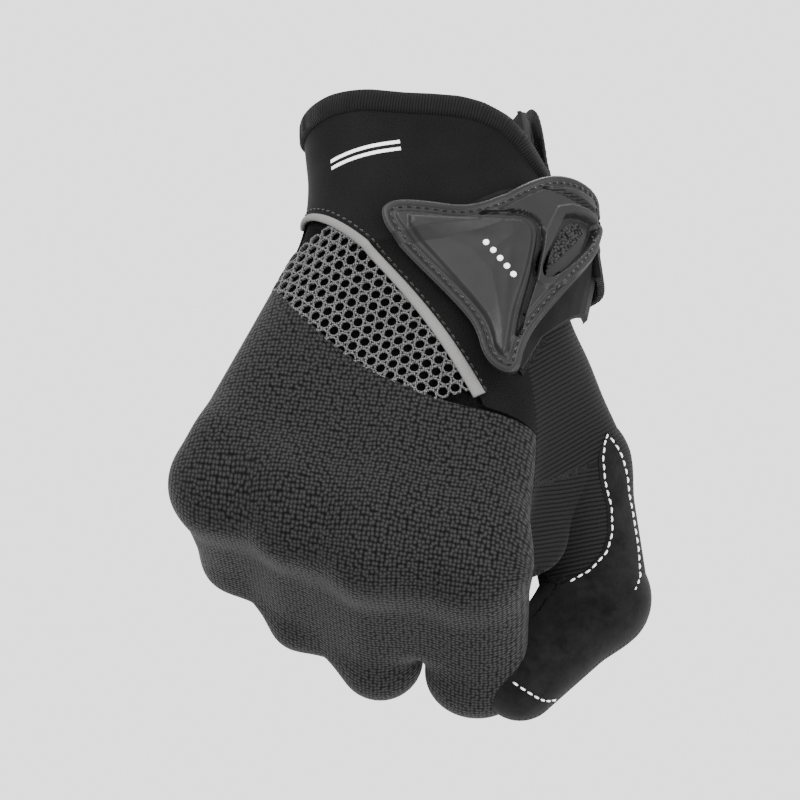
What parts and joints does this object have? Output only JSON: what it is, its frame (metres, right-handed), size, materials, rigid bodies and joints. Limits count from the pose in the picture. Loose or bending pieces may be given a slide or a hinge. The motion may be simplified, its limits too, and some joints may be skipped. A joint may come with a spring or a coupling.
{
  "type": "riding glove",
  "caption": "Right-hand summer riding glove closed in a fist, with a wrist strap that peels open and jointed fingers and thumb.",
  "frame": {"origin": "centre of the cuff's mouth", "axes": "+Z out of the mouth, up the forearm; -Y is the back of the hand; +X is the thumb side"},
  "size_m": [0.123, 0.0928, 0.1731],
  "materials": {
    "black_mesh": "matte",
    "grey_mesh": "matte",
    "reflective": "satin",
    "suede": "matte",
    "guard": "matte",
    "foam": "matte",
    "neoprene": "matte",
    "binding": "matte",
    "stretch": "matte",
    "loop": "matte",
    "webbing": "matte",
    "hook": "matte",
    "tab_rubber": "satin",
    "grip_rubber": "matte"
  },
  "bodies": {
    "hand": {"back_hand_panel": "black_mesh", "flex_mesh_panel": "grey_mesh", "reflective_piping": "reflective", "palm_panel": "suede", "palm_patch": "suede", "knuckle_guard": "guard", "knuckle_foam": "foam", "cuff_back_panel": "neoprene", "cuff_palm_panel": "neoprene", "cuff_hem_binding": "binding", "entry_gusset": "stretch", "loop_pad": "loop", "strap_anchor": "webbing"},
    "strap": {"strap_web": "webbing", "hook_pad": "hook", "strap_cover": "tab_rubber", "strap_grip_inset": "grip_rubber"},
    "index_root": {"index_root_back": "black_mesh", "index_root_front": "suede", "index_root_sides": "stretch"},
    "index_middle": {"index_middle_back": "black_mesh", "index_middle_front": "suede"},
    "index_tip": {"index_tip_back": "black_mesh", "index_tip_front": "suede"},
    "middle_root": {"middle_root_back": "black_mesh", "middle_root_front": "suede", "middle_root_sides": "stretch"},
    "middle_middle": {"middle_middle_back": "black_mesh", "middle_middle_front": "suede"},
    "middle_tip": {"middle_tip_back": "black_mesh", "middle_tip_front": "suede"},
    "ring_root": {"ring_root_back": "black_mesh", "ring_root_front": "suede", "ring_root_sides": "stretch"},
    "ring_middle": {"ring_middle_back": "black_mesh", "ring_middle_front": "suede"},
    "ring_tip": {"ring_tip_back": "black_mesh", "ring_tip_front": "suede"},
    "little_root": {"little_root_back": "black_mesh", "little_root_front": "suede", "little_root_sides": "stretch"},
    "little_middle": {"little_middle_back": "black_mesh", "little_middle_front": "suede"},
    "little_tip": {"little_tip_back": "black_mesh", "little_tip_front": "suede"},
    "thumb_root": {"thumb_root_back": "stretch", "thumb_root_front": "stretch", "thumb_root_hood": "stretch"},
    "thumb_middle": {"thumb_middle_back": "stretch", "thumb_middle_front": "suede", "thumb_patch": "suede"},
    "thumb_tip": {"thumb_tip_back": "stretch", "thumb_tip_front": "suede"}
  },
  "joints": [
    {"name": "index_knuckle", "type": "hinge", "parent": "hand", "child": "index_root", "pos_m": [-0.00156, 0, -0.13773], "axis": [-0.9563, 0, 0.2924], "range_deg": [0, 72]},
    {"name": "index_middle_joint", "type": "hinge", "parent": "index_root", "child": "index_middle", "pos_m": [-0.00571, 0.04375, -0.15132], "axis": [-0.9563, 0, 0.2924], "range_deg": [0, 92]},
    {"name": "index_tip_joint", "type": "hinge", "parent": "index_middle", "child": "index_tip", "pos_m": [0.00188, 0.05119, -0.1265], "axis": [-0.9563, 0, 0.2924], "range_deg": [0, 46]},
    {"name": "middle_knuckle", "type": "hinge", "parent": "hand", "child": "middle_root", "pos_m": [-0.02576, -0.002, -0.13137], "axis": [-0.9563, 0, 0.2924], "range_deg": [0, 76]},
    {"name": "middle_middle_joint", "type": "hinge", "parent": "middle_root", "child": "middle_middle", "pos_m": [-0.02929, 0.04652, -0.14294], "axis": [-0.9563, 0, 0.2924], "range_deg": [0, 92]},
    {"name": "middle_tip_joint", "type": "hinge", "parent": "middle_middle", "child": "middle_tip", "pos_m": [-0.02043, 0.05296, -0.11395], "axis": [-0.9563, 0, 0.2924], "range_deg": [0, 46]},
    {"name": "ring_knuckle", "type": "hinge", "parent": "hand", "child": "ring_root", "pos_m": [-0.046, 0, -0.11891], "axis": [-0.9563, 0, 0.2924], "range_deg": [0, 78]},
    {"name": "ring_middle_joint", "type": "hinge", "parent": "ring_root", "child": "ring_middle", "pos_m": [-0.04879, 0.045, -0.12806], "axis": [-0.9563, 0, 0.2924], "range_deg": [0, 92]},
    {"name": "ring_tip_joint", "type": "hinge", "parent": "ring_middle", "child": "ring_tip", "pos_m": [-0.04044, 0.05003, -0.10075], "axis": [-0.9563, 0, 0.2924], "range_deg": [0, 46]},
    {"name": "little_knuckle", "type": "hinge", "parent": "hand", "child": "little_root", "pos_m": [-0.06297, 0.003, -0.10431], "axis": [-0.9563, 0, 0.2924], "range_deg": [0, 80]},
    {"name": "little_middle_joint", "type": "hinge", "parent": "little_root", "child": "little_middle", "pos_m": [-0.06485, 0.03944, -0.11046], "axis": [-0.9563, 0, 0.2924], "range_deg": [0, 92]},
    {"name": "little_tip_joint", "type": "hinge", "parent": "little_middle", "child": "little_tip", "pos_m": [-0.05877, 0.04236, -0.09057], "axis": [-0.9563, 0, 0.2924], "range_deg": [0, 46]},
    {"name": "thumb_swing", "type": "hinge", "parent": "hand", "child": "thumb_root", "pos_m": [0.01636, 0.009, -0.06373], "axis": [-0.2924, 0, -0.9563], "range_deg": [0, 25]},
    {"name": "thumb_middle_joint", "type": "hinge", "parent": "thumb_root", "child": "thumb_middle", "pos_m": [0.03325, 0.02765, -0.10284], "axis": [0.2466, -0.9118, -0.3284], "range_deg": [0, 19]},
    {"name": "thumb_tip_joint", "type": "hinge", "parent": "thumb_middle", "child": "thumb_tip", "pos_m": [0.03511, 0.04045, -0.13697], "axis": [0.2466, -0.9118, -0.3284], "range_deg": [0, 41]},
    {"name": "strap_peel", "type": "hinge", "parent": "hand", "child": "strap", "pos_m": [0.0465, 0.0005, -0.052], "axis": [0, 0, 1], "range_deg": [0, 110]}
  ],
  "couplings": [
    {"joint": "index_tip_joint", "follows": "index_middle_joint", "ratio": 0.5},
    {"joint": "middle_tip_joint", "follows": "middle_middle_joint", "ratio": 0.5},
    {"joint": "ring_tip_joint", "follows": "ring_middle_joint", "ratio": 0.5},
    {"joint": "little_tip_joint", "follows": "little_middle_joint", "ratio": 0.5}
  ]
}
